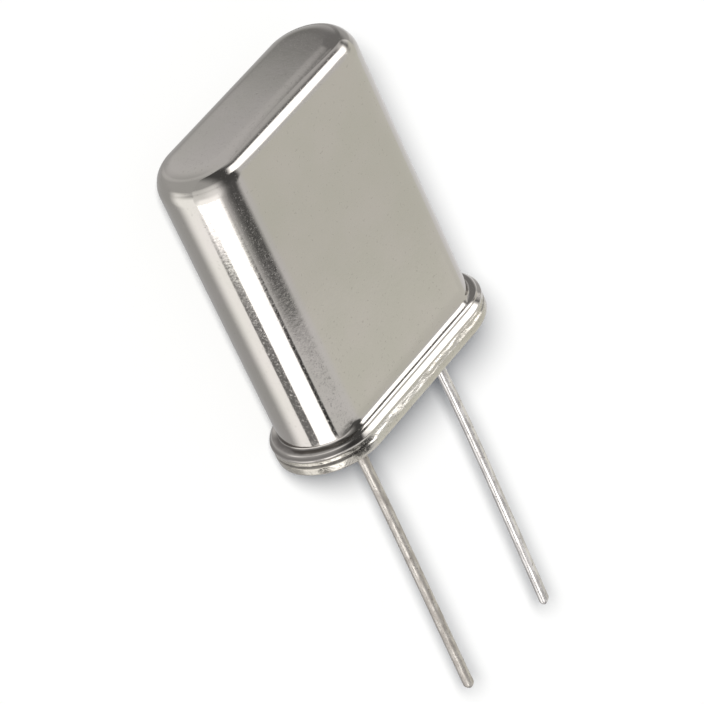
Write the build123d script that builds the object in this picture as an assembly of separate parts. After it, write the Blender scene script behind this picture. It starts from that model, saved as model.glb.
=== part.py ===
from build123d import *
import math
import os

# Two-lead quartz crystal in a tall obround metal can, all sizes in millimetres.
# The origin is the middle of the seating plane, level with the underside of the base flange.
# X runs along the wide side, Y through the thickness and Z up to the closed end of the can.
# The leads point down.

# Drawn can
can_width = 10.15
can_depth = 3.82
can_height = 13.30
can_wall = 0.25
crown_radius = 0.98
mouth_bevel = 0.28

# Welded flange: the lip of the can lies on the lip of the base
lip = 0.415
seam_height = 0.62

# Upper side of the can's lip, from the wall outward: a flare, a coined step and a trimmed edge.
# A lean is the angle in degrees that a stretch makes with the wall.
flare_corner = 1.19
flare_lean = 52.0
flare_run = 0.363
flare_radius = 0.59
step_lean = 24.0
step_run = 0.092
step_round = 0.30
edge_lean = 37.0
crease_round = 0.06
edge_round = 0.06
seam_bevel = 0.04

# Stamped base with its raised plug and the recess under it
base_lip = 0.40
base_lip_round = 0.24
base_foot_round = 0.09
plug_clearance = 0.06
plug_height = 1.22
plug_bevel = 0.20
recess_inset = 0.98
recess_height = 0.60
recess_bevel = 0.10

# Leads and the glass beads that hold them: bare wire in the glass, a tin coat below it
lead_pitch = 5.08
lead_diameter = 0.43
wire_diameter = 0.40
coat_top = 0.15
coat_taper = 0.55
lead_length_left = 13.40
lead_length_right = 13.75
lead_tip_length = 0.22
lead_tip_diameter = 0.20
lead_tip_round = 0.30
post_height = 1.95
head_diameter = 0.86
head_thickness = 0.16
glass_diameter = 1.45
glass_climb = 0.12

# Ribbon springs
ribbon_thickness = 0.12
ribbon_width = 1.20
ribbon_bend = 0.32
foot_inner_reach = 0.38
foot_outer_reach = 0.50
riser_offset = 3.90
riser_start = 3.15
riser_top = 8.75
jaw_length = 2.70
jaw_clearance = 0.05
jaw_cut = 1.00

# Quartz blank and its electrodes
blank_diameter = 8.00
blank_thickness = 0.28
blank_bevel = 0.07
blank_height = 6.95
electrode_diameter = 5.20
electrode_thickness = 0.02
tab_width = 0.90
bond_diameter = 1.10
bond_width = 1.20
bond_bevel = 0.30

# Derived places
end_radius = can_depth / 2
end_offset = can_width / 2 - end_radius
lead_radius = lead_diameter / 2
wire_radius = wire_diameter / 2
head_top = post_height + head_thickness
lead_places = {"left": -lead_pitch / 2, "right": lead_pitch / 2}
lead_lengths = {"left": lead_length_left, "right": lead_length_right}


def obround_sweep(section):
    """Carry a section round the obround. Its x is the distance from the axis of a round end."""
    run = 2 * end_offset
    half_turn = Rot(0, 0, -90) * revolve(Plane.XZ * section, Axis.Z, 180)
    right_end = Pos(end_offset, 0, 0) * half_turn
    left_end = Rot(0, 0, 180) * right_end
    front_plane = Plane(origin=(end_offset, 0, 0), x_dir=(0, -1, 0), z_dir=(-1, 0, 0))
    front_run = extrude(front_plane * section, run)
    back_run = Rot(0, 0, 180) * front_run
    return right_end + left_end + front_run + back_run


def corner_at(face, x, y):
    """Return the corner of a section that is nearest to a point."""
    return face.vertices().sort_by_distance((x, y, 0))[0]


def round_corners(face, corners):
    """Round the named corners of a section, given as (x, y, radius)."""
    for x, y, radius in corners:
        face = fillet(corner_at(face, x, y), radius)
    return face


def bevel_corners(face, corners):
    """Bevel the named corners of a section, given as (x, y, length)."""
    for x, y, length in corners:
        face = chamfer(corner_at(face, x, y), length)
    return face


def lip_corners():
    """Walk the upper side of the can's lip outward and return its corners."""
    x, y = end_radius, flare_corner
    corners = [(x, y)]
    for run, lean in ((flare_run, flare_lean), (step_run, step_lean)):
        x += run * math.sin(math.radians(lean))
        y -= run * math.cos(math.radians(lean))
        corners.append((x, y))
    rim = end_radius + lip
    corners.append((rim, y - (rim - x) / math.tan(math.radians(edge_lean))))
    return corners


def can_cover():
    """Deep-drawn can: flat crown, straight walls and a flared lip for the weld."""
    inner = end_radius - can_wall
    rim = end_radius + lip
    flare, step, crease, edge = lip_corners()
    outline = Polyline(
        (0, can_height),
        (end_radius, can_height),
        flare,
        step,
        crease,
        edge,
        (rim, seam_height),
        (inner, seam_height),
        (inner, can_height - can_wall),
        (0, can_height - can_wall),
        close=True,
    )
    section = round_corners(
        make_face(outline),
        [
            (end_radius, can_height, crown_radius),
            (inner, can_height - can_wall, crown_radius - can_wall),
            (*flare, flare_radius),
            (*step, step_round),
            (*crease, crease_round),
            (*edge, edge_round),
        ],
    )
    section = bevel_corners(
        section, [(rim, seam_height, seam_bevel), (inner, seam_height, mouth_bevel)]
    )
    return obround_sweep(section)


def header_base():
    """Stamped base: a lip under the can's lip, a plug inside it and two pierced holes."""
    rim = end_radius + base_lip
    plug = end_radius - can_wall - plug_clearance
    recess = end_radius - recess_inset
    outline = Polyline(
        (0, plug_height),
        (plug, plug_height),
        (plug, seam_height),
        (rim, seam_height),
        (rim, 0),
        (recess, 0),
        (recess, recess_height),
        (0, recess_height),
        close=True,
    )
    section = round_corners(
        make_face(outline),
        [
            (rim, seam_height, base_lip_round),
            (rim, 0, base_foot_round),
        ],
    )
    section = bevel_corners(
        section, [(plug, plug_height, plug_bevel), (recess, 0, recess_bevel)]
    )
    base = obround_sweep(section)
    hole = Cylinder(glass_diameter / 2, 2 * plug_height)
    for x in lead_places.values():
        base -= Pos(x, 0, 0) * hole
    return base


def glass_seal(x):
    """Glass bead fused into a hole of the base, with faces that climb the wire."""
    outer = glass_diameter / 2
    outline = Polyline(
        (outer, recess_height),
        (outer, plug_height),
        (wire_radius, plug_height + glass_climb),
        (wire_radius, recess_height - glass_climb),
        close=True,
    )
    return Pos(x, 0, 0) * revolve(Plane.XZ * make_face(outline), Axis.Z, 360)


def lead(x, length):
    """Round lead with a nail head in the can, a tin coat below the base and a cropped tip."""
    tip_radius = lead_tip_diameter / 2
    tip = -length
    shoulder = tip + lead_tip_length
    outline = Polyline(
        (0, tip),
        (tip_radius, tip),
        (lead_radius, shoulder),
        (lead_radius, coat_top - coat_taper),
        (wire_radius, coat_top),
        (wire_radius, post_height),
        (head_diameter / 2, post_height),
        (head_diameter / 2, head_top),
        (0, head_top),
        close=True,
    )
    section = round_corners(make_face(outline), [(lead_radius, shoulder, lead_tip_round)])
    return Pos(x, 0, 0) * revolve(Plane.XZ * section, Axis.Z, 360)


def ribbon_spring(x):
    """Ribbon spring: foot welded on a lead's head, riser slotted to take the blank's edge."""
    side = math.copysign(1, x)
    foot = head_top + ribbon_thickness / 2
    path = FilletPolyline(
        (x - side * foot_inner_reach, 0, foot),
        (x + side * foot_outer_reach, 0, foot),
        (side * riser_offset, 0, riser_start),
        (side * riser_offset, 0, riser_top),
        radius=ribbon_bend,
    )
    across = Plane(origin=path @ 0, x_dir=(0, 1, 0), z_dir=path % 0)
    ribbon = sweep(across * Rectangle(ribbon_width, ribbon_thickness), path)
    top_edges = ribbon.edges().filter_by(Axis.X).group_by(Axis.Z)[-1]
    ribbon = fillet(top_edges, ribbon_width / 4)
    slot = blank_thickness + 2 * jaw_clearance
    jaw = Pos(side * riser_offset, 0, blank_height) * Box(jaw_cut, slot, jaw_length)
    return ribbon - jaw


def quartz_blank():
    """Round quartz plate standing on edge in the can, bevelled round its rim."""
    disc = Cylinder(blank_diameter / 2, blank_thickness)
    disc = chamfer(disc.edges(), blank_bevel)
    return Pos(0, 0, blank_height) * Rot(90, 0, 0) * disc


def electrode(face_side, tab_side):
    """Metal film on one face of the blank: a disc and a tab that runs to one spring."""
    reach = blank_diameter / 2 - 2 * blank_bevel
    tab = Pos(tab_side * reach / 2, 0) * Rectangle(reach, tab_width)
    outline = (Circle(electrode_diameter / 2) + tab) & Circle(reach)
    film = extrude(outline, electrode_thickness)
    offset = blank_thickness / 2 if face_side < 0 else blank_thickness / 2 + electrode_thickness
    return Pos(0, face_side * offset, blank_height) * Rot(90, 0, 0) * film


def bond(x, neighbours):
    """Dot of conductive adhesive that wraps the blank's edge where it sits in the spring."""
    side = math.copysign(1, x)
    dot = Cylinder(bond_diameter / 2, bond_width)
    dot = chamfer(dot.edges().filter_by(GeomType.CIRCLE), bond_bevel)
    dot = Pos(side * riser_offset, 0, blank_height) * Rot(90, 0, 0) * dot
    for neighbour in neighbours:
        dot -= neighbour
    return dot


def build_parts():
    """Build every piece and return them by name."""
    parts = {"can_cover": can_cover(), "header_base": header_base()}
    for name, x in lead_places.items():
        parts[f"glass_seal_{name}"] = glass_seal(x)
        parts[f"lead_{name}"] = lead(x, lead_lengths[name])
        parts[f"mount_spring_{name}"] = ribbon_spring(x)
    parts["quartz_blank"] = quartz_blank()
    parts["electrode_front"] = electrode(-1, -1)
    parts["electrode_back"] = electrode(1, 1)
    held = [parts["quartz_blank"], parts["electrode_front"], parts["electrode_back"]]
    for name, x in lead_places.items():
        parts[f"bond_{name}"] = bond(x, held + [parts[f"mount_spring_{name}"]])
    return parts


def write_parts():
    """Write each piece to its own file."""
    os.makedirs("parts", exist_ok=True)
    for name, shape in build_parts().items():
        export_step(shape, f"parts/{name}.step")


write_parts()
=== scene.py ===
import logging
import math
from abc import ABC, abstractmethod
from collections.abc import Callable
from dataclasses import dataclass, field
from enum import Enum

import bmesh
import bpy
from mathutils import Matrix, Vector, geometry, noise


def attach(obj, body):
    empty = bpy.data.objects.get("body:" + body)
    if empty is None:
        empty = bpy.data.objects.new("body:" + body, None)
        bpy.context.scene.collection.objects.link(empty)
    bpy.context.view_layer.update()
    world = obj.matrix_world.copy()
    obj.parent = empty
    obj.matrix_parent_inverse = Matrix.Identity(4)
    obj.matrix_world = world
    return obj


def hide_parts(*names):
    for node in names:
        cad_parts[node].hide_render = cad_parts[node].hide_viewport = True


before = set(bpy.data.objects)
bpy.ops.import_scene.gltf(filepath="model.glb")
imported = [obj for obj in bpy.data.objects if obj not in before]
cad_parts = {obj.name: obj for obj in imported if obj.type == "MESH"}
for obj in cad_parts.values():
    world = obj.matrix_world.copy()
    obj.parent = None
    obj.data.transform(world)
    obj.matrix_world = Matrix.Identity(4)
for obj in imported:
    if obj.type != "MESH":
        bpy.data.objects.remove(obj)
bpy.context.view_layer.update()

log = logging.getLogger("crystal")
logging.basicConfig(level=logging.INFO, format="%(name)s: %(message)s")

Point = tuple[float, float]
Triple = tuple[float, float, float]
Colour = Triple
Section = Callable[[float], list[Point]]
Displacement = Callable[[Vector, Vector], float]

MM = 0.001
ROOT = "root"
AXIS_GAP = 1e-6
DOUBLE_GAP = 1e-8
EVEN: Triple = (1.0, 1.0, 1.0)

# Sizes that several pieces share, in millimetres

END_RADIUS = 1.91
SEAM_HEIGHT = 0.62
PLUG_HEIGHT = 1.22
RECESS_HEIGHT = 0.60
HOLE_RADIUS = 0.725
LEAD_PITCH = 5.08
WIRE_RADIUS = 0.20


class Side(Enum):
    """The two leads and what hangs on them, by their side of the can."""

    LEFT = -1
    RIGHT = 1

    @property
    def word(self) -> str:
        """The side's word in the names of nodes."""
        return self.name.lower()

    @property
    def lead_x(self) -> float:
        """Where the side's lead stands along X, in millimetres."""
        return self.value * LEAD_PITCH / 2


# Shader graphs: sockets that can be calculated with


def operator(operation: str, reflected: bool = False) -> Callable[["Wire", "Value"], "Wire"]:
    """Make one of a wire's operators.

    Args:
        operation: The Math node's operation.
        reflected: Whether the other value comes first, as in 1 - mask.

    Returns:
        The operator.
    """

    def apply(wire: "Wire", other: "Value") -> "Wire":
        """Add a Math node for a wire and another value."""
        first, second = (other, wire) if reflected else (wire, other)
        return wire.graph.node("ShaderNodeMath", {"operation": operation}, {0: first, 1: second})[0]

    return apply


class Wire:
    """An output socket that Python's arithmetic turns into Math nodes."""

    __add__ = operator("ADD")
    __radd__ = operator("ADD", reflected=True)
    __sub__ = operator("SUBTRACT")
    __rsub__ = operator("SUBTRACT", reflected=True)
    __mul__ = operator("MULTIPLY")
    __rmul__ = operator("MULTIPLY", reflected=True)
    __pow__ = operator("POWER")
    __rpow__ = operator("POWER", reflected=True)

    def __init__(self, graph: "Graph", socket: bpy.types.NodeSocket) -> None:
        """Wrap an output socket of a node in a graph."""
        self.graph = graph
        self.socket = socket

    def __abs__(self) -> "Wire":
        """Drop the sign."""
        return self.graph.node("ShaderNodeMath", {"operation": "ABSOLUTE"}, {0: self})[0]

    def step(self, start: float, end: float) -> "Wire":
        """Rise smoothly from 0 to 1.

        Args:
            start: The value at which the result is 0.
            end: The value at which the result is 1; it may lie below start.

        Returns:
            The smooth step.
        """
        settings = {"interpolation_type": "SMOOTHSTEP"}
        inputs = {"Value": self, "From Min": start, "From Max": end}
        if end < start:
            inputs = {"Value": self, "From Min": end, "From Max": start, "To Min": 1.0, "To Max": 0.0}
        return self.graph.node("ShaderNodeMapRange", settings, inputs)["Result"]

    def spread(self, low: float, high: float) -> "Wire":
        """Stretch a mask from 0..1 to low..high."""
        return self * (high - low) + low

    def toward(self, goal: "Value", mask: "Value") -> "Wire":
        """Pass over to another value where a mask is 1."""
        return self + (goal - self) * mask


Value = Wire | float


class Outputs:
    """The output sockets of one node, by name or number."""

    def __init__(self, graph: "Graph", node: bpy.types.Node) -> None:
        """Keep the node and its graph."""
        self.graph = graph
        self.node = node

    def __getitem__(self, key: str | int) -> Wire:
        """Return one output as a wire."""
        return Wire(self.graph, self.node.outputs[key])


class Graph:
    """A node tree that is filled by one method."""

    def __init__(self, tree: bpy.types.NodeTree) -> None:
        """Start with an empty tree."""
        self.tree = tree
        tree.nodes.clear()

    def node(self, kind: str, settings: dict | None = None, inputs: dict | None = None) -> Outputs:
        """Add a node.

        Args:
            kind: The node's type.
            settings: Its properties, set first.
            inputs: Values or wires for its sockets, by name or number.

        Returns:
            The node's outputs.
        """
        node = self.tree.nodes.new(kind)
        for name, value in (settings or {}).items():
            setattr(node, name, value)
        for key, value in (inputs or {}).items():
            if isinstance(value, Wire):
                self.tree.links.new(value.socket, node.inputs[key])
            else:
                node.inputs[key].default_value = value
        return Outputs(self, node)

    def mix_colour(self, mask: Value, low: Colour | Wire, high: Colour | Wire) -> Wire:
        """Mix two colours.

        Args:
            mask: 0 for the first colour and 1 for the second.
            low: The first colour.
            high: The second colour.

        Returns:
            The mixed colour.
        """
        first = low if isinstance(low, Wire) else (*low, 1.0)
        second = high if isinstance(high, Wire) else (*high, 1.0)
        inputs = {0: mask, 6: first, 7: second}
        return self.node("ShaderNodeMix", {"data_type": "RGBA"}, inputs)[2]

    def axes(self, vector: Wire) -> tuple[Wire, Wire, Wire]:
        """Return the three parts of a vector."""
        parts = self.node("ShaderNodeSeparateXYZ", None, {0: vector})
        return parts[0], parts[1], parts[2]

    def place(self) -> Wire:
        """Return the object's own coordinates, in metres."""
        return self.node("ShaderNodeTexCoord")["Object"]

    def stretched(self, scale: Triple) -> Wire:
        """Return the object's own coordinates, scaled along each axis."""
        inputs = {0: self.place(), 1: scale}
        return self.node("ShaderNodeVectorMath", {"operation": "MULTIPLY"}, inputs)["Vector"]

    def cloud(
        self, size_mm: float, detail: float = 2.0, rough: float = 0.5, grain: Triple = EVEN
    ) -> Wire:
        """Return a noise field.

        Args:
            size_mm: The size of its blotches in millimetres.
            detail: How many finer octaves are added.
            rough: How strong the finer octaves are.
            grain: How often blotches follow each other along each axis; under 1 they are long.

        Returns:
            Values round one half.
        """
        inputs = {
            "Vector": self.stretched(grain),
            "Scale": 1.0 / (size_mm * MM),
            "Detail": detail,
            "Roughness": rough,
        }
        return self.node("ShaderNodeTexNoise", None, inputs)["Fac"]

    def bump(self, height: Wire, depth_mm: float) -> Wire:
        """Turn a height from 0 to 1 into a normal; 1 stands for the depth in millimetres."""
        inputs = {"Distance": depth_mm * MM, "Height": height}
        return self.node("ShaderNodeBump", None, inputs)["Normal"]

    def surface(self, shader: Wire) -> None:
        """Connect a shader to the material's output."""
        self.node("ShaderNodeOutputMaterial", None, {"Surface": shader})

    def principled(self, inputs: dict) -> None:
        """Make the main shader, with the given sockets, the material's surface."""
        self.surface(self.node("ShaderNodeBsdfPrincipled", None, inputs)[0])


# Finishes


@dataclass(frozen=True)
class Finish(ABC):
    """A finish with its main colour. Each kind of finish fills its own graph."""

    name: str
    colour: Colour

    @abstractmethod
    def paint(self, g: Graph) -> None:
        """Fill the material's graph."""

    def material(self) -> bpy.types.Material:
        """Build the finish.

        Returns:
            The new material.
        """
        material = bpy.data.materials.new(self.name)
        material.use_nodes = True
        self.paint(Graph(material.node_tree))
        return material


@dataclass(frozen=True)
class PaintedShadeLine:
    """A line of painted shade at one height of the left round end, in millimetres, and how deep its
    colour is.

    It lies between low and high and is darkest at the middle. It fades in from start to full,
    which are distances to the left of the can's middle.
    """

    low: float
    middle: float
    high: float
    start: float
    full: float
    depth: float

    def mask(self, x: Wire, height: Wire) -> Wire:
        """Return the line's mask.

        Args:
            x: A place along X, in metres.
            height: Its height, in metres.

        Returns:
            The mask, from 0 to the line's depth.
        """
        line = height.step(self.low * MM, self.middle * MM)
        line = line * height.step(self.high * MM, self.middle * MM)
        return line * x.step(-self.start * MM, -self.full * MM) * self.depth


@dataclass(frozen=True)
class SatinNickel(Finish):
    """Nickel plate on drawn steel: satin, with an orange-peel skin, small pits that get painted shade,
    and lines of painted shade round the left end.
    """

    warm: Colour
    rough: tuple[float, float]
    peel_mm: float
    peel_depth_mm: float
    pit_share: float
    painted_shade_lines: tuple[PaintedShadeLine, ...]
    grain: Triple = EVEN
    pit_shade: Triple = (0.45, 0.44, 0.42)
    painted_shade_colour: Colour = (0.10, 0.09, 0.085)
    shade_wander_mm: float = 0.04

    def painted_shade_mask(self, g: Graph) -> Wire:
        """Return a mask for the lines of painted shade that run round the left end.

        Args:
            g: The material's graph.

        Returns:
            The mask.
        """
        x, _, z = g.axes(g.place())
        height = z + (g.cloud(0.5) - 0.5) * (self.shade_wander_mm * MM)
        return sum(stain.mask(x, height) for stain in self.painted_shade_lines)

    def paint(self, g: Graph) -> None:
        """Fill the graph.

        Args:
            g: The material's graph.
        """
        broad = g.cloud(2.2, detail=3.0).step(0.35, 0.68)
        fine = g.cloud(0.16, detail=4.0, rough=0.65).step(0.3, 0.75)
        flecks = g.cloud(0.06, rough=0.6).step(0.57, 0.68)
        pits = g.cloud(0.11).step(0.5 + self.pit_share, 0.56 + self.pit_share)
        peel = g.cloud(self.peel_mm, detail=3.0, rough=0.6, grain=self.grain) - pits * 0.35
        # A pit's colour is the main colour darkened: painted shade in the pits.
        shaded_pit_colour = tuple(shade * part for shade, part in zip(self.pit_shade, self.colour))
        tone = g.mix_colour(broad, self.colour, self.warm)
        tone = g.mix_colour(pits * 0.2, tone, shaded_pit_colour)
        # Lines of painted shade darken the base colour round the left end.
        tone = g.mix_colour(self.painted_shade_mask(g), tone, self.painted_shade_colour)
        g.principled(
            {
                "Base Color": tone,
                "Metallic": 1.0,
                "Roughness": fine.spread(*self.rough) + pits * 0.05 + flecks * 0.16,
                "Normal": g.bump(peel, self.peel_depth_mm),
            }
        )


@dataclass(frozen=True)
class TinnedWire(Finish):
    """Hot-dipped tin on a round wire, drawn out in long streaks, with dark specks."""

    dull: Colour
    rough: tuple[float, float]
    depth_mm: float
    speck: Colour = (0.12, 0.1, 0.08)
    grain: Triple = (5.2, 5.2, 1.4)

    def paint(self, g: Graph) -> None:
        """Fill the graph.

        Args:
            g: The material's graph.
        """
        streaks = g.cloud(1.0, detail=4.0, grain=self.grain)
        grit = g.cloud(0.09, detail=3.0, rough=0.6)
        dulled = streaks.step(0.38, 0.64)
        tone = g.mix_colour(dulled, self.colour, self.dull)
        g.principled(
            {
                "Base Color": g.mix_colour(grit.step(0.6, 0.68) * 0.5, tone, self.speck),
                "Metallic": 1.0,
                "Roughness": dulled.spread(*self.rough),
                "Normal": g.bump(streaks * 0.6 + grit * 0.4, self.depth_mm),
            }
        )


@dataclass(frozen=True)
class FusedGlass(Finish):
    """Dark glass bead, fused between the base and a wire, with small bubbles."""

    pale: Colour
    bubble: Colour = (0.3, 0.34, 0.32)
    depth_mm: float = 0.008

    def paint(self, g: Graph) -> None:
        """Fill the graph.

        Args:
            g: The material's graph.
        """
        swirl = g.cloud(0.5, detail=4.0, rough=0.6).step(0.35, 0.7)
        bubbles = g.cloud(0.07, detail=1.0).step(0.62, 0.7)
        tone = g.mix_colour(swirl, self.colour, self.pale)
        g.principled(
            {
                "Base Color": g.mix_colour(bubbles * 0.6, tone, self.bubble),
                "Roughness": bubbles.spread(0.06, 0.3),
                "Coat Weight": 0.6,
                "Coat Roughness": 0.04,
                "Normal": g.bump(swirl - bubbles * 0.4, self.depth_mm),
            }
        )


@dataclass(frozen=True)
class RolledRibbon(Finish):
    """Rolled nickel ribbon with lines along its length and blotches of weld colour."""

    heat: Colour
    grain: Triple = (3.0, 16.0, 0.9)
    depth_mm: float = 0.004

    def paint(self, g: Graph) -> None:
        """Fill the graph.

        Args:
            g: The material's graph.
        """
        lines = g.cloud(1.0, detail=3.0, grain=self.grain)
        heated = g.cloud(0.8, detail=3.0).step(0.45, 0.7)
        g.principled(
            {
                "Base Color": g.mix_colour(heated * 0.5, self.colour, self.heat),
                "Metallic": 1.0,
                "Roughness": lines.step(0.3, 0.7).spread(0.22, 0.42),
                "Normal": g.bump(lines, self.depth_mm),
            }
        )


@dataclass(frozen=True)
class LappedQuartz(Finish):
    """Quartz plate, lapped to a fine frost and a little clear."""

    frost: Colour
    depth_mm: float = 0.001

    def paint(self, g: Graph) -> None:
        """Fill the graph.

        Args:
            g: The material's graph.
        """
        veil = g.cloud(0.9, detail=4.0).step(0.3, 0.7)
        grit = g.cloud(0.03)
        g.principled(
            {
                "Base Color": g.mix_colour(veil, self.colour, self.frost),
                "Roughness": grit.step(0.3, 0.7).spread(0.25, 0.5),
                "Alpha": veil.spread(0.45, 0.75),
                "IOR": 1.54,
                "Normal": g.bump(grit, self.depth_mm),
            }
        )


@dataclass(frozen=True)
class SilverFilm(Finish):
    """Evaporated silver, mirror bright with a faint tarnish."""

    tarnish: Colour
    depth_mm: float = 0.0006

    def paint(self, g: Graph) -> None:
        """Fill the graph.

        Args:
            g: The material's graph.
        """
        veil = g.cloud(1.4, detail=4.0).step(0.45, 0.8)
        g.principled(
            {
                "Base Color": g.mix_colour(veil, self.colour, self.tarnish),
                "Metallic": 1.0,
                "Roughness": veil.spread(0.08, 0.22),
                "Normal": g.bump(g.cloud(0.05), self.depth_mm),
            }
        )


@dataclass(frozen=True)
class SilverPaste(Finish):
    """Silver-filled adhesive, grey and grainy, with bright flakes."""

    flake: Colour
    depth_mm: float = 0.02

    def paint(self, g: Graph) -> None:
        """Fill the graph.

        Args:
            g: The material's graph.
        """
        flakes = g.cloud(0.05, detail=1.0).step(0.55, 0.62)
        lumps = g.cloud(0.25, detail=4.0, rough=0.6)
        g.principled(
            {
                "Base Color": g.mix_colour(flakes, self.colour, self.flake),
                "Metallic": flakes * 0.8,
                "Roughness": flakes.spread(0.7, 0.35),
                "Normal": g.bump(lumps + flakes * 0.2, self.depth_mm),
            }
        )


@dataclass(frozen=True)
class WhiteTable(Finish):
    """Matt white with a faint glow of its own, and clear when seen from behind."""

    glow: Colour
    glow_strength: float

    def paint(self, g: Graph) -> None:
        """Fill the graph.

        Args:
            g: The material's graph.
        """
        path = g.node("ShaderNodeLightPath")
        seen = path["Is Camera Ray"] + path["Is Glossy Ray"] + path["Is Transmission Ray"]
        paper = g.node("ShaderNodeBsdfDiffuse", None, {"Color": (*self.colour, 1.0)})[0]
        light = {"Color": (*self.glow, 1.0), "Strength": seen * self.glow_strength}
        lift = g.node("ShaderNodeEmission", None, light)[0]
        front = g.node("ShaderNodeAddShader", None, {0: paper, 1: lift})[0]
        clear = g.node("ShaderNodeBsdfTransparent")[0]
        behind = g.node("ShaderNodeNewGeometry")["Backfacing"]
        g.surface(g.node("ShaderNodeMixShader", None, {0: behind, 1: front, 2: clear})[0])


# Meshes


def ease(value: float, start: float, end: float) -> float:
    """Rise smoothly from 0 at start to 1 at end."""
    share = min(1.0, max(0.0, (value - start) / (end - start)))
    return share * share * (3 - 2 * share)


def between(first: Point, last: Point, share: float) -> Point:
    """Return the point at a share of the way from one point to another."""
    return (first[0] + (last[0] - first[0]) * share, first[1] + (last[1] - first[1]) * share)


def rounded_corner(before: Point, corner: Point, after: Point, radius: float, steps: int) -> list[Point]:
    """Round one corner of a section.

    Args:
        before: A point on the line that comes in.
        corner: The sharp corner.
        after: A point on the line that goes out.
        radius: The radius of the rounding.
        steps: How many chords make the arc.

    Returns:
        The points of the arc, from one tangent point to the other.
    """
    corner_at = Vector(corner)
    back = (Vector(before) - corner_at).normalized()
    ahead = (Vector(after) - corner_at).normalized()
    half = back.angle(ahead) / 2
    centre = corner_at + (back + ahead).normalized() * (radius / math.sin(half))
    reach = radius / math.tan(half)
    start = corner_at + back * reach - centre
    end = corner_at + ahead * reach - centre
    turn = start.angle_signed(end)
    points = []
    for i in range(steps + 1):
        turned = Matrix.Rotation(-turn * i / steps, 2) @ start
        points.append(tuple(centre + turned))
    return points


def rounded_outline(corners: list[tuple], spacing: float) -> list[Point]:
    """Round the corners of an open outline and divide its lines.

    Args:
        corners: (x, y, radius, steps) for a rounded corner and (x, y) for a sharp one.
        spacing: About the longest piece of a line, in millimetres. Lengths are rounded first,
            so that two sections of one form get as many points.

    Returns:
        The points of the outline, in order.
    """
    path: list[Point] = []
    for i, (x, y, *rounding) in enumerate(corners):
        stretch = [(x, y)]
        if rounding:
            stretch = rounded_corner(corners[i - 1][:2], (x, y), corners[i + 1][:2], *rounding)
        if path:
            start = path[-1]
            pieces = max(1, math.ceil(round(math.dist(start, stretch[0])) / spacing))
            path.extend(between(start, stretch[0], k / pieces) for k in range(1, pieces))
        path.extend(stretch)
    return path


def section_normals(section: list[Point]) -> list[Point]:
    """Find the outward normals of an open section that runs clockwise.

    Args:
        section: The points of the section.

    Returns:
        The unit normal at each point.
    """
    normals = []
    for i, point in enumerate(section):
        before = section[max(0, i - 1)]
        after = section[min(len(section) - 1, i + 1)]
        dx, dz = after[0] - before[0], after[1] - before[1]
        length = math.hypot(dx, dz) or 1.0
        on_axis = point[0] < AXIS_GAP
        normals.append((0.0, math.copysign(1.0, dx)) if on_axis else (-dz / length, dx / length))
    return normals


def circle_stations(centre: float, sides: int) -> list[Point]:
    """Return the x of the centre and the angle at each point of a circle."""
    return [(centre, 2 * math.pi * k / sides) for k in range(sides)]


def ring_at(stations: list[Point], distance: float, height: float) -> list[Vector]:
    """Return one level ring.

    Args:
        stations: The x of the centre, in millimetres, and the angle at each point.
        distance: How far the points lie from their centres, in millimetres.
        height: The ring's height in millimetres.

    Returns:
        The points in metres.
    """
    points = []
    for centre, angle in stations:
        place = (centre + distance * math.cos(angle), distance * math.sin(angle), height)
        points.append(Vector(place) * MM)
    return points


def add_rings(mesh: bmesh.types.BMesh, rings: list[list[Vector]], closed: bool = False) -> None:
    """Add a skin through closed rings of points.

    Args:
        mesh: The mesh to add to.
        rings: The rings from the top down, each with as many points.
        closed: Whether the last ring is joined to the first.
    """
    rows = [[mesh.verts.new(place) for place in ring] for ring in rings]
    if closed:
        rows.append(rows[0])
    for upper, lower in zip(rows, rows[1:]):
        for k in range(len(upper)):
            n = (k + 1) % len(upper)
            mesh.faces.new((upper[k], lower[k], lower[n], upper[n]))


@dataclass(frozen=True)
class Ripple:
    """Smooth waves in a surface: their depth and size in millimetres, a seed and a grain.

    The grain says how often waves follow each other along each axis; under 1 they are long.
    """

    depth: float
    size: float
    seed: float
    grain: Triple = EVEN

    def at(self, place: Vector) -> float:
        """Return the height of the waves.

        Args:
            place: A place in millimetres.

        Returns:
            The height in millimetres, from -depth to depth.
        """
        drawn = Vector([part * often for part, often in zip(place, self.grain)])
        shift = Vector((self.seed, 0.37 * self.seed, -0.71 * self.seed))
        return self.depth * noise.noise(drawn / self.size + shift)


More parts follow.
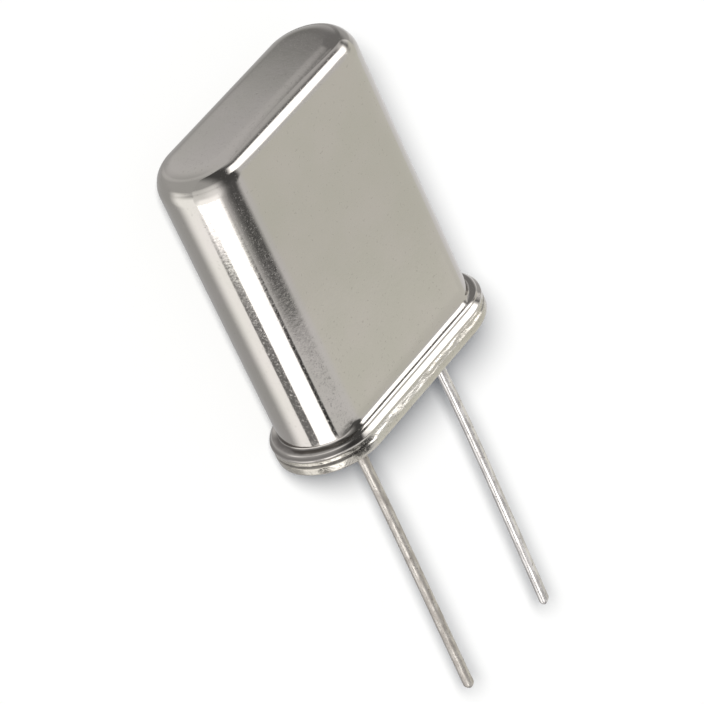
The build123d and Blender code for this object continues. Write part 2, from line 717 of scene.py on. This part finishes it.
@dataclass
class Obround:
    """The outline that the can and the base share: two half circles and two straight runs."""

    half_run: float = 3.165
    end_steps: int = 72
    run_steps: int = 72

    def stations(self) -> list[Point]:
        """Walk all the way round, from the left end of the front run.

        Returns:
            The x of the centre and the angle at each station.
        """
        quarter = math.pi / 2
        places = []
        for side in (1, -1):
            for k in range(self.run_steps):
                x = side * (2 * self.half_run * k / self.run_steps - self.half_run)
                places.append((x, -side * quarter))
            for k in range(self.end_steps):
                places.append((side * self.half_run, math.pi * k / self.end_steps - side * quarter))
        return places

    def distance(self, place: Vector) -> float:
        """Return how far a place lies from the line between the axes of the round ends."""
        return math.hypot(max(0.0, abs(place.x) - self.half_run), place.y)

    def sweep(self, section: Section, displace: Displacement) -> bmesh.types.BMesh:
        """Carry an open section round the outline.

        Args:
            section: Gives the points, as (distance from the axis of a round end, height) in
                millimetres, from 0 on a straight run to 1 at the middle of a round end.
            displace: Gives a shift in millimetres along the normal, from a place and its normal.

        Returns:
            The mesh, in metres.
        """
        mesh = bmesh.new()
        rows = []
        for centre, angle in self.stations():
            cos, sin = math.cos(angle), math.sin(angle)
            points = section(abs(cos))
            row = []
            for (distance, height), (nx, nz) in zip(points, section_normals(points)):
                place = Vector((centre + distance * cos, distance * sin, height))
                normal = Vector((nx * cos, nx * sin, nz))
                place += normal * displace(place, normal)
                row.append(mesh.verts.new(place * MM))
            rows.append(row)
        for row, following in zip(rows, rows[1:] + rows[:1]):
            for j in range(len(row) - 1):
                mesh.faces.new((row[j], following[j], following[j + 1], row[j + 1]))
        return mesh


def add_to_scene(name: str, data: bpy.types.ID) -> bpy.types.Object:
    """Put a new object into the scene.

    Args:
        name: The object's name.
        data: Its mesh, lamp or camera.

    Returns:
        The object.
    """
    thing = bpy.data.objects.new(name, data)
    bpy.context.scene.collection.objects.link(thing)
    return thing


def finish_piece(
    name: str, mesh: bmesh.types.BMesh, material: bpy.types.Material
) -> bpy.types.Object:
    """Turn a mesh into a shaded piece that rides on the object.

    Args:
        name: The piece's name.
        mesh: Its mesh, which is freed.
        material: Its finish.

    Returns:
        The piece.
    """
    bmesh.ops.remove_doubles(mesh, verts=mesh.verts, dist=DOUBLE_GAP)
    bmesh.ops.recalc_face_normals(mesh, faces=mesh.faces)
    for face in mesh.faces:
        face.smooth = True
    data = bpy.data.meshes.new(name)
    mesh.to_mesh(data)
    mesh.free()
    data.materials.append(material)
    piece = add_to_scene(name, data)
    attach(piece, ROOT)
    log.info("%s: %d faces", name, len(data.polygons))
    return piece


# The object's pieces


@dataclass(frozen=True)
class Flare:
    """How the can's wall turns out into the lip.

    The corner is where the wall ends. Each slope is a run in millimetres and its lean from the
    wall in degrees. Each rounding is a radius and how many chords it has.
    """

    corner: float
    slopes: tuple[Point, ...]
    roundings: tuple[tuple[float, int], ...]


@dataclass
class CanCover:
    """Deep-drawn can with a flat crown and a flared, stepped lip."""

    outline: Obround = field(default_factory=Obround)
    end_radius: float = END_RADIUS
    height: float = 13.30
    wall: float = 0.25
    crown_radius: float = 0.98
    crown_steps: int = 22
    inner_steps: int = 8
    seam_height: float = SEAM_HEIGHT
    lip: float = 0.415
    lip_edge: float = 0.735
    side_flare: Flare = Flare(
        corner=1.19,
        slopes=((0.32, 52.0), (0.095, 24.0)),
        roundings=((0.48, 14), (0.28, 10), (0.10, 4), (0.03, 5)),
    )
    end_flare: Flare = Flare(
        corner=0.97,
        slopes=((0.262, 82.0), (0.095, 24.0)),
        roundings=((0.09, 14), (0.12, 10), (0.10, 4), (0.03, 5)),
    )
    end_start: float = 0.06
    end_full: float = 0.55
    dome_mm: float = 0.04
    dome_margin: float = 1.0
    mouth_bevel: float = 0.28
    seam_bevel: float = 0.04
    spacing: float = 0.4
    waves: tuple[Ripple, ...] = (Ripple(0.0028, 3.4, 1.0), Ripple(0.0008, 1.1, 5.0))
    lip_wear: Ripple = Ripple(0.005, 0.6, 9.0)
    wear_start: float = 1.15
    wear_full: float = 0.85

    def section(self, endness: float) -> list[Point]:
        """Blend the section of the straight side with the tighter one of the round end.

        Args:
            endness: 0 on a straight run and 1 at the middle of a round end.

        Returns:
            The points, from the middle of the crown outward and back inside.
        """
        share = ease(endness, self.end_start, self.end_full)
        pairs = zip(self.flared(self.side_flare), self.flared(self.end_flare), strict=True)
        return [between(side, end, share) for side, end in pairs]

    def flared(self, flare: Flare) -> list[Point]:
        """Draw the can's section with one form of the flare.

        Args:
            flare: The form of the flare.

        Returns:
            The points, from the middle of the crown outward and back inside.
        """
        x, y = self.end_radius, flare.corner
        lip_points = [(x, y)]
        for run, lean in flare.slopes:
            x += run * math.sin(math.radians(lean))
            y -= run * math.cos(math.radians(lean))
            lip_points.append((x, y))
        rim = self.end_radius + self.lip
        lip_points.append((rim, self.lip_edge))
        inner = self.end_radius - self.wall
        crown = (self.end_radius, self.height, self.crown_radius, self.crown_steps)
        corners: list[tuple] = [(0.0, self.height), crown]
        corners += [(*point, *rounding) for point, rounding in zip(lip_points, flare.roundings)]
        corners += [
            (rim, self.seam_height + self.seam_bevel),
            (rim - self.seam_bevel, self.seam_height),
            (inner + self.mouth_bevel, self.seam_height),
            (inner, self.seam_height + self.mouth_bevel),
            (inner, self.height - self.wall, self.crown_radius - self.wall, self.inner_steps),
            (0.0, self.height - self.wall),
        ]
        return rounded_outline(corners, self.spacing)

    def unevenness(self, place: Vector, normal: Vector) -> float:
        """Give the drawn skin its slight waves and the lip its worn edge.

        Args:
            place: A place in millimetres.
            normal: The outward normal there.

        Returns:
            The shift along the normal in millimetres.
        """
        inside = self.outline.distance(place) < self.end_radius - 0.5 * self.wall
        if inside and place.z < self.height - 0.5 * self.wall:
            return 0.0
        skin = sum(wave.at(place) for wave in self.waves)
        lip = ease(place.z, self.wear_start, self.wear_full) * self.lip_wear.at(place)
        return skin + lip - self.dome_mm * normal.z * self.sunk_share(place)

    def sunk_share(self, place: Vector) -> float:
        """Say how far a place on the crown sinks from the middle towards the round ends."""
        crown = max(0.0, (place.z - self.height) / self.crown_radius + 1.0)
        return crown * (place.x / (self.outline.half_run + self.dome_margin)) ** 2

    def build(self, material: bpy.types.Material) -> None:
        """Build the can in place of its plain solid.

        Args:
            material: The can's finish.
        """
        mesh = self.outline.sweep(self.section, self.unevenness)
        piece = finish_piece("can_skin", mesh, material)
        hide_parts("can_cover")


@dataclass
class HeaderBase:
    """Stamped base with a plug, a lip that the weld left lumpy, and two pierced holes."""

    outline: Obround = field(default_factory=Obround)
    end_radius: float = END_RADIUS
    lip: float = 0.40
    seam_height: float = SEAM_HEIGHT
    plug: float = 1.60
    plug_height: float = PLUG_HEIGHT
    plug_bevel: float = 0.20
    recess: float = 0.93
    recess_height: float = RECESS_HEIGHT
    recess_bevel: float = 0.10
    weld_reach: float = 0.18
    weld_foot: float = 0.30
    weld_steps: int = 18
    groove_depth: float = 0.07
    groove_low: float = 0.33
    groove_middle: float = 0.41
    groove_high: float = 0.49
    end_start: float = 0.25
    end_full: float = 0.6
    foot_round: float = 0.09
    foot_steps: int = 6
    hole_radius: float = HOLE_RADIUS
    hole_sides: int = 48
    spacing: float = 0.12
    lumps: tuple[Ripple, ...] = (
        Ripple(0.012, 0.30, 3.0, (0.3, 1.0, 1.2)),
        Ripple(0.010, 0.13, 7.0, (0.3, 1.0, 1.2)),
    )
    lump_foot: float = 0.20
    lump_full: float = 0.34
    lump_fade: float = 0.02
    sheet: Ripple = Ripple(0.005, 0.8, 11.0)
    sheet_width: float = 0.3

    def weld_inset(self, height: float, share: float) -> float:
        """Say how far the weld stands back from the rim: a slope at the sides, a groove at the ends.

        Args:
            height: A height between the foot of the weld and the seam.
            share: 0 on a straight side and 1 round an end.

        Returns:
            The distance in millimetres.
        """
        slope = self.weld_reach * (height - self.weld_foot) / (self.seam_height - self.weld_foot)
        groove = self.groove_depth * ease(height, self.groove_low, self.groove_middle)
        groove *= ease(height, self.groove_high, self.groove_middle)
        return slope + (groove - slope) * share

    def section(self, endness: float) -> list[Point]:
        """Return the open section, from the top of the plug round the lip to the recess.

        Args:
            endness: 0 on a straight run and 1 at the middle of a round end.

        Returns:
            The points.
        """
        share = ease(endness, self.end_start, self.end_full)
        rim = self.end_radius + self.lip
        corners: list[tuple] = [
            (self.plug - self.plug_bevel, self.plug_height),
            (self.plug, self.plug_height - self.plug_bevel),
            (self.plug, self.seam_height),
        ]
        for k in range(self.weld_steps + 1):
            height = self.seam_height + (self.weld_foot - self.seam_height) * k / self.weld_steps
            corners.append((rim - self.weld_inset(height, share), height))
        corners += [
            (rim, 0.0, self.foot_round, self.foot_steps),
            (self.recess + self.recess_bevel, 0.0),
            (self.recess, self.recess_bevel),
            (self.recess, self.recess_height),
        ]
        return rounded_outline(corners, self.spacing)

    def weld_lumps(self, place: Vector, normal: Vector) -> float:
        """Leave the squeezed-out metal of the weld along the upper edge of the lip.

        Args:
            place: A place in millimetres.
            normal: The outward normal there, which makes no difference.

        Returns:
            The shift along the normal in millimetres.
        """
        distance = self.outline.distance(place)
        rim = self.end_radius + self.lip
        if distance < rim - self.sheet_width:
            return 0.0
        upper = ease(place.z, self.lump_foot, self.lump_full)
        upper *= ease(place.z, self.seam_height + self.lump_fade, self.seam_height - self.lump_fade)
        lumps = sum(lump.at(place) for lump in self.lumps)
        return upper * lumps + self.sheet.at(place) * ease(distance, rim - self.sheet_width, rim)

    def hole(self, side: Side, height: float) -> list[Vector]:
        """Return the rim of one pierced hole in metres."""
        return ring_at(circle_stations(side.lead_x, self.hole_sides), self.hole_radius, height)

    def add_plate(self, mesh: bmesh.types.BMesh, distance: float, height: float) -> None:
        """Close the base with a flat plate that has two holes.

        Args:
            mesh: The mesh to add to.
            distance: How far the plate reaches from the axis of a round end.
            height: The plate's height.
        """
        loops = [ring_at(self.outline.stations(), distance, height)]
        loops += [self.hole(side, height) for side in Side]
        corners = [mesh.verts.new(place) for loop in loops for place in loop]
        for triangle in geometry.tessellate_polygon(loops):
            mesh.faces.new([corners[i] for i in triangle])

    def build(self, material: bpy.types.Material) -> None:
        """Build the base in place of its plain solid.

        Args:
            material: The base's finish.
        """
        mesh = self.outline.sweep(self.section, self.weld_lumps)
        self.add_plate(mesh, self.plug - self.plug_bevel, self.plug_height)
        self.add_plate(mesh, self.recess, self.recess_height)
        for side in Side:
            add_rings(mesh, [self.hole(side, self.plug_height), self.hole(side, self.recess_height)])
        piece = finish_piece("base_with_weld", mesh, material)
        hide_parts("header_base")


@dataclass
class Lead:
    """Tinned wire with a nail head in the can, a slight bow and a cropped tip."""

    side: Side
    length: float
    bow_mm: float
    lean_mm: float
    crop_slope: float
    tip_radius: float
    bow_power: float = 0.55
    coat_radius: float = 0.215
    coat_top: float = 0.15
    coat_taper: float = 0.55
    coat_rings: int = 170
    wire_radius: float = WIRE_RADIUS
    wire_rings: tuple[float, ...] = (1.4, 0.6)
    post_height: float = 1.95
    head_radius: float = 0.43
    head_thickness: float = 0.16
    head_inset: float = 0.05
    head_drop: float = 0.03
    head_foot: float = 0.02
    tip_length: float = 0.22
    tip_power: float = 1.6
    tip_rings: int = 8
    swell_depth: float = 0.5
    shaft_swell: float = 0.5
    sides: int = 32

    def profile(self) -> list[Point]:
        """Draw the lead's outline.

        Returns:
            (radius, height) from the nail head down to the tip.
        """
        top = self.post_height + self.head_thickness
        tip = -self.length
        shoulder = tip + self.tip_length
        coat_full = self.coat_top - self.coat_taper
        points = [(0.0, top), (self.head_radius - self.head_inset, top)]
        points.append((self.head_radius, top - self.head_drop))
        points.append((self.head_radius, self.post_height + self.head_foot))
        for height in (self.post_height, *self.wire_rings, self.coat_top):
            points.append((self.wire_radius, height))
        for k in range(self.coat_rings + 1):
            points.append((self.coat_radius, coat_full + (shoulder - coat_full) * k / self.coat_rings))
        for k in range(1, self.tip_rings + 1):
            share = k / self.tip_rings
            radius = self.coat_radius + (self.tip_radius - self.coat_radius) * share**self.tip_power
            points.append((radius, shoulder + (tip - shoulder) * share))
        points.append((0.0, tip))
        return points

    def axis_shift(self, height: float) -> float:
        """Return how far the wire strays sideways at a height below the base."""
        share = max(0.0, -height) / self.length
        return self.bow_mm * math.sin(math.pi * min(1.0, share) ** self.bow_power) + self.lean_mm * share

    def ring(self, radius: float, height: float) -> list[Vector]:
        """Draw one ring of the wire, uneven where the tin coat is and aslant at the cropped tip.

        Args:
            radius: The ring's even radius in millimetres.
            height: Its height in millimetres.

        Returns:
            The points in metres.
        """
        waves = (Ripple(0.03, 0.7, 13.0 + self.side.value), Ripple(0.02, 0.22, 17.0))
        crop_start = -self.length + 2 * self.tip_length
        middle = self.side.lead_x + self.axis_shift(height)
        crop = ease(height, crop_start, -self.length)
        coat = ease(height, 0.0, -self.swell_depth)
        if height > crop_start:
            coat *= self.shaft_swell
        points = []
        for k in range(self.sides):
            angle = 2 * math.pi * k / self.sides
            place = Vector((radius * math.cos(angle), radius * math.sin(angle), height))
            swell = 1 + coat * sum(wave.at(place) for wave in waves)
            lift = crop * self.crop_slope * (place.x + self.coat_radius)
            points.append(Vector((middle + place.x * swell, place.y * swell, height + lift)) * MM)
        return points

    def build(self, material: bpy.types.Material) -> None:
        """Build the lead in place of its plain solid.

        Args:
            material: The lead's finish.
        """
        mesh = bmesh.new()
        add_rings(mesh, [self.ring(radius, height) for radius, height in self.profile()])
        piece = finish_piece(f"wire_{self.side.word}", mesh, material)
        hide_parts(f"lead_{self.side.word}")


@dataclass
class GlassBead:
    """Glass between the base and a wire, drawn up the wire by its own surface."""

    side: Side
    radius: float = HOLE_RADIUS
    wire_radius: float = WIRE_RADIUS
    bottom: float = RECESS_HEIGHT
    top: float = PLUG_HEIGHT
    climb: float = 0.12
    climb_power: float = 3.0
    steps: int = 14
    sides: int = 48

    def profile(self) -> list[Point]:
        """Draw the bead's outline.

        Returns:
            (radius, height) from the wire above, over the bead, to the wire below.
        """
        over, under = [], []
        for k in range(self.steps + 1):
            share = k / self.steps
            radius = self.radius + (self.wire_radius - self.radius) * share
            rise = self.climb * share**self.climb_power
            over.append((radius, self.top + rise))
            under.append((radius, self.bottom - rise))
        return over[::-1] + under

    def build(self, material: bpy.types.Material) -> None:
        """Build the bead in place of its plain solid.

        Args:
            material: The bead's finish.
        """
        mesh = bmesh.new()
        stations = circle_stations(self.side.lead_x, self.sides)
        add_rings(mesh, [ring_at(stations, *point) for point in self.profile()], closed=True)
        piece = finish_piece(f"glass_bead_{self.side.word}", mesh, material)
        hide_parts(f"glass_seal_{self.side.word}")


@dataclass
class Resonator:
    """The quartz blank with its films, springs and adhesive, closed in the can."""

    finishes: dict[str, bpy.types.Material]

    def dress(self) -> None:
        """Give each hidden solid its finish."""
        for name, material in self.finishes.items():
            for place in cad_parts[name].material_slots:
                place.material = material
            log.info("%s: dressed with %s", name, material.name)


# Studio


@dataclass(frozen=True)
class Softbox:
    """A soft lamp in the studio's sky, placed on a flat map of directions.

    The map looks along the table's normal: across is +X and along is +Z. The two halves are the
    lamp's half sizes, and the fade and the edge are how softly each pair of sides ends.
    """

    across: float
    along: float
    half_across: float
    half_along: float
    tilt: float
    fade: float
    edge: float
    strength: float

    def mask(self, across: Wire, along: Wire) -> Wire:
        """Return 1 inside and 0 outside, with a soft edge.

        Args:
            across: The map's first coordinate.
            along: The map's second coordinate.

        Returns:
            The mask.
        """
        cos, sin = math.cos(math.radians(self.tilt)), math.sin(math.radians(self.tilt))
        x = across - self.across
        z = along - self.along
        u = abs(x * cos + z * sin)
        v = abs(z * cos - x * sin)
        inside_u = u.step(self.half_across + self.fade, self.half_across - self.fade)
        inside_v = v.step(self.half_along + self.edge, self.half_along - self.edge)
        return inside_u * inside_v


@dataclass
class Studio:
    """Pale table behind the crystal, soft sky and the photographer's camera."""

    table_y: float = 2.45
    table_half: float = 150.0
    camera_mm: Triple = (-90.73, -113.024, 94.406)
    right: Triple = (0.56128, -0.74369, -0.36318)
    up: Triple = (0.64009, 0.1119, 0.76011)
    forward: Triple = (0.52464, 0.6591, -0.53883)
    sensor: float = 36.0
    lens: float = 237.4
    near_m: float = 0.005
    far_m: float = 5.0
    key_shift: Point = (-0.042, 0.08)
    key_angle: float = 16.5
    key_strength: float = 5.26
    key_colour: Colour = (1.0, 0.99, 0.965)
    fill: float = 0.09
    fill_colour: Colour = (0.84, 0.95, 1.16)
    sky_colour: Colour = (1.0, 0.99, 1.0)
    cream_colour: Colour = (1.0, 0.99, 0.93)
    strip_light: float = 0.82
    edge_light: float = 0.05
    gap_light: float = 0.22

    def add_camera(self) -> None:
        """Put the camera where the photograph was taken from."""
        data = bpy.data.cameras.new("camera")
        data.sensor_width = self.sensor
        data.lens = self.lens
        data.clip_start = self.near_m
        data.clip_end = self.far_m
        camera = add_to_scene("camera", data)
        turn = Matrix((Vector(self.right), Vector(self.up), -Vector(self.forward)))
        camera.matrix_world = Matrix.Translation(Vector(self.camera_mm) * MM) @ turn.transposed().to_4x4()
        bpy.context.scene.camera = camera

    def add_key(self) -> None:
        """Add the broad key lamp, which throws the soft shadow on the table."""
        lamp = bpy.data.lights.new("key", "SUN")
        lamp.energy = self.key_strength
        lamp.color = self.key_colour
        lamp.angle = math.radians(self.key_angle)
        key = add_to_scene("key", lamp)
        shift_right, shift_up = self.key_shift
        source = -Vector(self.forward) + Vector(self.right) * shift_right + Vector(self.up) * shift_up
        key.rotation_euler = source.to_track_quat("Z", "Y").to_euler()
        key.visible_glossy = False

    def add_table(self) -> None:
        """Add the white table that the crystal lies on, facing the camera."""
        half = self.table_half
        corners = [(-half, half), (half, half), (half, -half), (-half, -half)]
        mesh = bmesh.new()
        face = mesh.faces.new([mesh.verts.new(Vector((x, self.table_y, z)) * MM) for x, z in corners])
        face.normal_update()
        if face.normal.y > 0:
            face.normal_flip()
        data = bpy.data.meshes.new("table")
        mesh.to_mesh(data)
        mesh.free()
        finish = WhiteTable("white_table", (0.88, 0.88, 0.88), glow=(0.96, 0.98, 1.0), glow_strength=0.04)
        data.materials.append(finish.material())
        table = add_to_scene("table", data)
        table.visible_glossy = False

    def add_sky(self) -> None:
        """Paint the studio round the object, and plain white for the camera to see behind it."""
        world = bpy.data.worlds.new("studio")
        bpy.context.scene.world = world
        world.use_nodes = True
        g = Graph(world.node_tree)
        x, y, z = g.axes(g.node("ShaderNodeTexCoord")["Generated"])
        scale = (abs(y) + 1.0) ** -0.5
        across, along = x * scale, z * scale
        above = y.step(0.03, -0.03)
        level = self.lower_sky(across, along).toward(self.upper_sky(across, along), above)
        level = self.low_band(x, y, z, level)
        path = g.node("ShaderNodeLightPath")
        seen = path["Is Camera Ray"]
        mirrored = path["Is Glossy Ray"] + path["Is Transmission Ray"]
        mirrored = mirrored * (1.0 - path["Diffuse Depth"].step(0.0, 1.0))
        level = (level - self.fill) * mirrored + self.fill
        level = level.toward(1.0, seen)
        warmth = above * across.step(0.2, 0.4) * along.step(0.2, 0.0)
        tint = g.mix_colour(warmth, self.sky_colour, self.cream_colour)
        tint = g.mix_colour(mirrored, self.fill_colour, tint)
        tint = g.mix_colour(seen, tint, EVEN)
        background = g.node("ShaderNodeBackground", None, {"Color": tint, "Strength": level})[0]
        g.node("ShaderNodeOutputWorld", None, {"Surface": background})

    @staticmethod
    def upper_sky(across: Wire, along: Wire) -> Wire:
        """Return the light from the side that the camera stands on.

        Args:
            across: The map's coordinate along X.
            along: The map's coordinate along Z.

        Returns:
            The radiance.
        """
        lifted = (along + 0.12).step(0.0, 0.25) * 0.16
        dark = along.step(0.0, 0.3).spread(0.11, 0.085)
        right_wall = (across - lifted).step(0.03, 0.2) * along.step(0.62, 0.35) * 0.64
        left_wall = across.step(-0.04, -0.46) ** 2.0 * along.step(0.5, 0.1) * 0.9
        upper_left = across.step(-0.12, -0.50) * along.step(0.1, 0.4) * 0.42
        horizon = (across * across + along * along).step(0.50, 0.80)
        upper_right = horizon * across.step(0.1, 0.4) * along.step(-0.1, 0.3) * 0.50
        level = dark + right_wall + left_wall + upper_left + upper_right
        glow = Softbox(-0.56, 0.04, 0.15, 0.22, tilt=0.0, fade=0.14, edge=0.16, strength=1.2)
        left = Softbox(-0.68, -0.36, 0.25, 0.28, tilt=0.0, fade=0.08, edge=0.12, strength=1.6)
        tube = Softbox(-0.68, -0.448, 0.25, 0.055, tilt=11.7, fade=0.08, edge=0.03, strength=2.6)
        right = Softbox(0.49, 0.382, 0.34, 0.138, tilt=-26.0, fade=0.11, edge=0.045, strength=2.7)
        corner = Softbox(0.84, 0.28, 0.08, 0.24, tilt=0.0, fade=0.10, edge=0.10, strength=0.15)
        for lamp in (glow, left, tube, right, corner):
            level = level.toward(lamp.strength, lamp.mask(across, along))
        return level

    def low_band(self, x: Wire, y: Wire, z: Wire, level: Wire) -> Wire:
        """Add what stands low in the studio, beyond the leads: a pale strip and dark gaps.

        Args:
            x: The direction's part along X.
            y: The direction's part along Y.
            z: The direction's part along Z.
            level: The radiance so far.

        Returns:
            The radiance.
        """
        near = y.step(-0.2, -0.4)
        strip = z.step(-0.527, -0.533) * x.step(-0.53, -0.49) * near
        edge = z.step(-0.512, -0.522) * x.step(-0.56, -0.53) * x.step(-0.43, -0.46) * near
        gap = z.step(-0.503, -0.520) * x.step(-0.60, -0.66) * y.step(-0.22, -0.16) * y.step(0.13, 0.08)
        level = level.toward(self.strip_light, strip).toward(self.edge_light, edge)
        return level.toward(self.gap_light, gap)

    @staticmethod
    def lower_sky(across: Wire, along: Wire) -> Wire:
        """Return the light from the side of the table, as the table would send it back.

        Args:
            across: The map's coordinate along X.
            along: The map's coordinate along Z.

        Returns:
            The radiance.
        """
        left_wall = across.step(-0.36, -0.68) * along.step(0.35, 0.0) * 0.9
        beside = across.step(0.3, 0.6) * along.step(0.0, -0.3) * 0.33
        over = along.step(0.1, 0.4)
        lit = across.step(-0.1, 0.3) * 0.15
        turned = across - (along - 0.418) * 0.25
        fall = turned.step(0.387, 0.427) * 0.09 + turned.step(0.422, 0.472) * 0.36
        return left_wall + 0.48 + over * (lit + 0.05 - fall) + beside

    def build(self) -> None:
        """Set the studio up."""
        self.add_camera()
        self.add_key()
        self.add_table()
        self.add_sky()
        bpy.context.scene.view_settings.view_transform = "Standard"


def main() -> None:
    """Build and dress the crystal, then set up the studio."""
    nickel = SatinNickel(
        "satin_nickel",
        (0.566, 0.547, 0.500),
        warm=(0.588, 0.560, 0.524),
        rough=(0.05, 0.09),
        peel_mm=0.20,
        peel_depth_mm=0.0008,
        pit_share=0.16,
        # Two lines of painted shade on the lip's flare round the left end, where the shadowed table is
        # reflected.
        painted_shade_lines=(PaintedShadeLine(0.90, 0.96, 1.02, 4.3, 4.8, 0.85), PaintedShadeLine(0.72, 0.78, 0.88, 3.6, 4.2, 0.5)),
    )
    weld_nickel = SatinNickel(
        "weld_nickel",
        (0.66, 0.64, 0.585),
        warm=(0.59, 0.56, 0.495),
        rough=(0.10, 0.24),
        peel_mm=0.13,
        peel_depth_mm=0.009,
        pit_share=0.09,
        # A line of painted shade in the weld's groove round the left end.
        painted_shade_lines=(PaintedShadeLine(0.33, 0.41, 0.49, 3.3, 4.2, 0.85),),
        grain=(0.28, 1.0, 1.3),
    )
    dull_tin = TinnedWire("dull_tin", (0.61, 0.58, 0.53), (0.46, 0.43, 0.39), (0.26, 0.46), 0.013)
    bright_tin = TinnedWire("bright_tin", (0.80, 0.78, 0.75), (0.58, 0.56, 0.54), (0.12, 0.26), 0.005)
    glass = FusedGlass("dark_glass", (0.012, 0.02, 0.017), (0.035, 0.05, 0.043)).material()
    ribbon = RolledRibbon("nickel_ribbon", (0.58, 0.55, 0.46), (0.42, 0.3, 0.18)).material()
    quartz = LappedQuartz("lapped_quartz", (0.78, 0.82, 0.85), (0.9, 0.91, 0.92)).material()
    film = SilverFilm("silver_film", (0.86, 0.85, 0.82), (0.7, 0.64, 0.52)).material()
    paste = SilverPaste("silver_paste", (0.34, 0.33, 0.31), (0.75, 0.74, 0.71)).material()

    CanCover().build(nickel.material())
    HeaderBase().build(weld_nickel.material())
    left = Lead(Side.LEFT, 13.40, bow_mm=0.07, lean_mm=-0.07, crop_slope=0.0, tip_radius=0.07)
    right = Lead(Side.RIGHT, 13.75, bow_mm=0.20, lean_mm=0.035, crop_slope=0.5, tip_radius=0.11)
    left.build(dull_tin.material())
    right.build(bright_tin.material())
    for side in Side:
        GlassBead(side).build(glass)
    inner = {"quartz_blank": quartz, "electrode_front": film, "electrode_back": film}
    for side in Side:
        inner[f"mount_spring_{side.word}"] = ribbon
        inner[f"bond_{side.word}"] = paste
    Resonator(inner).dress()
    Studio().build()


if __name__ == "__main__":
    main()
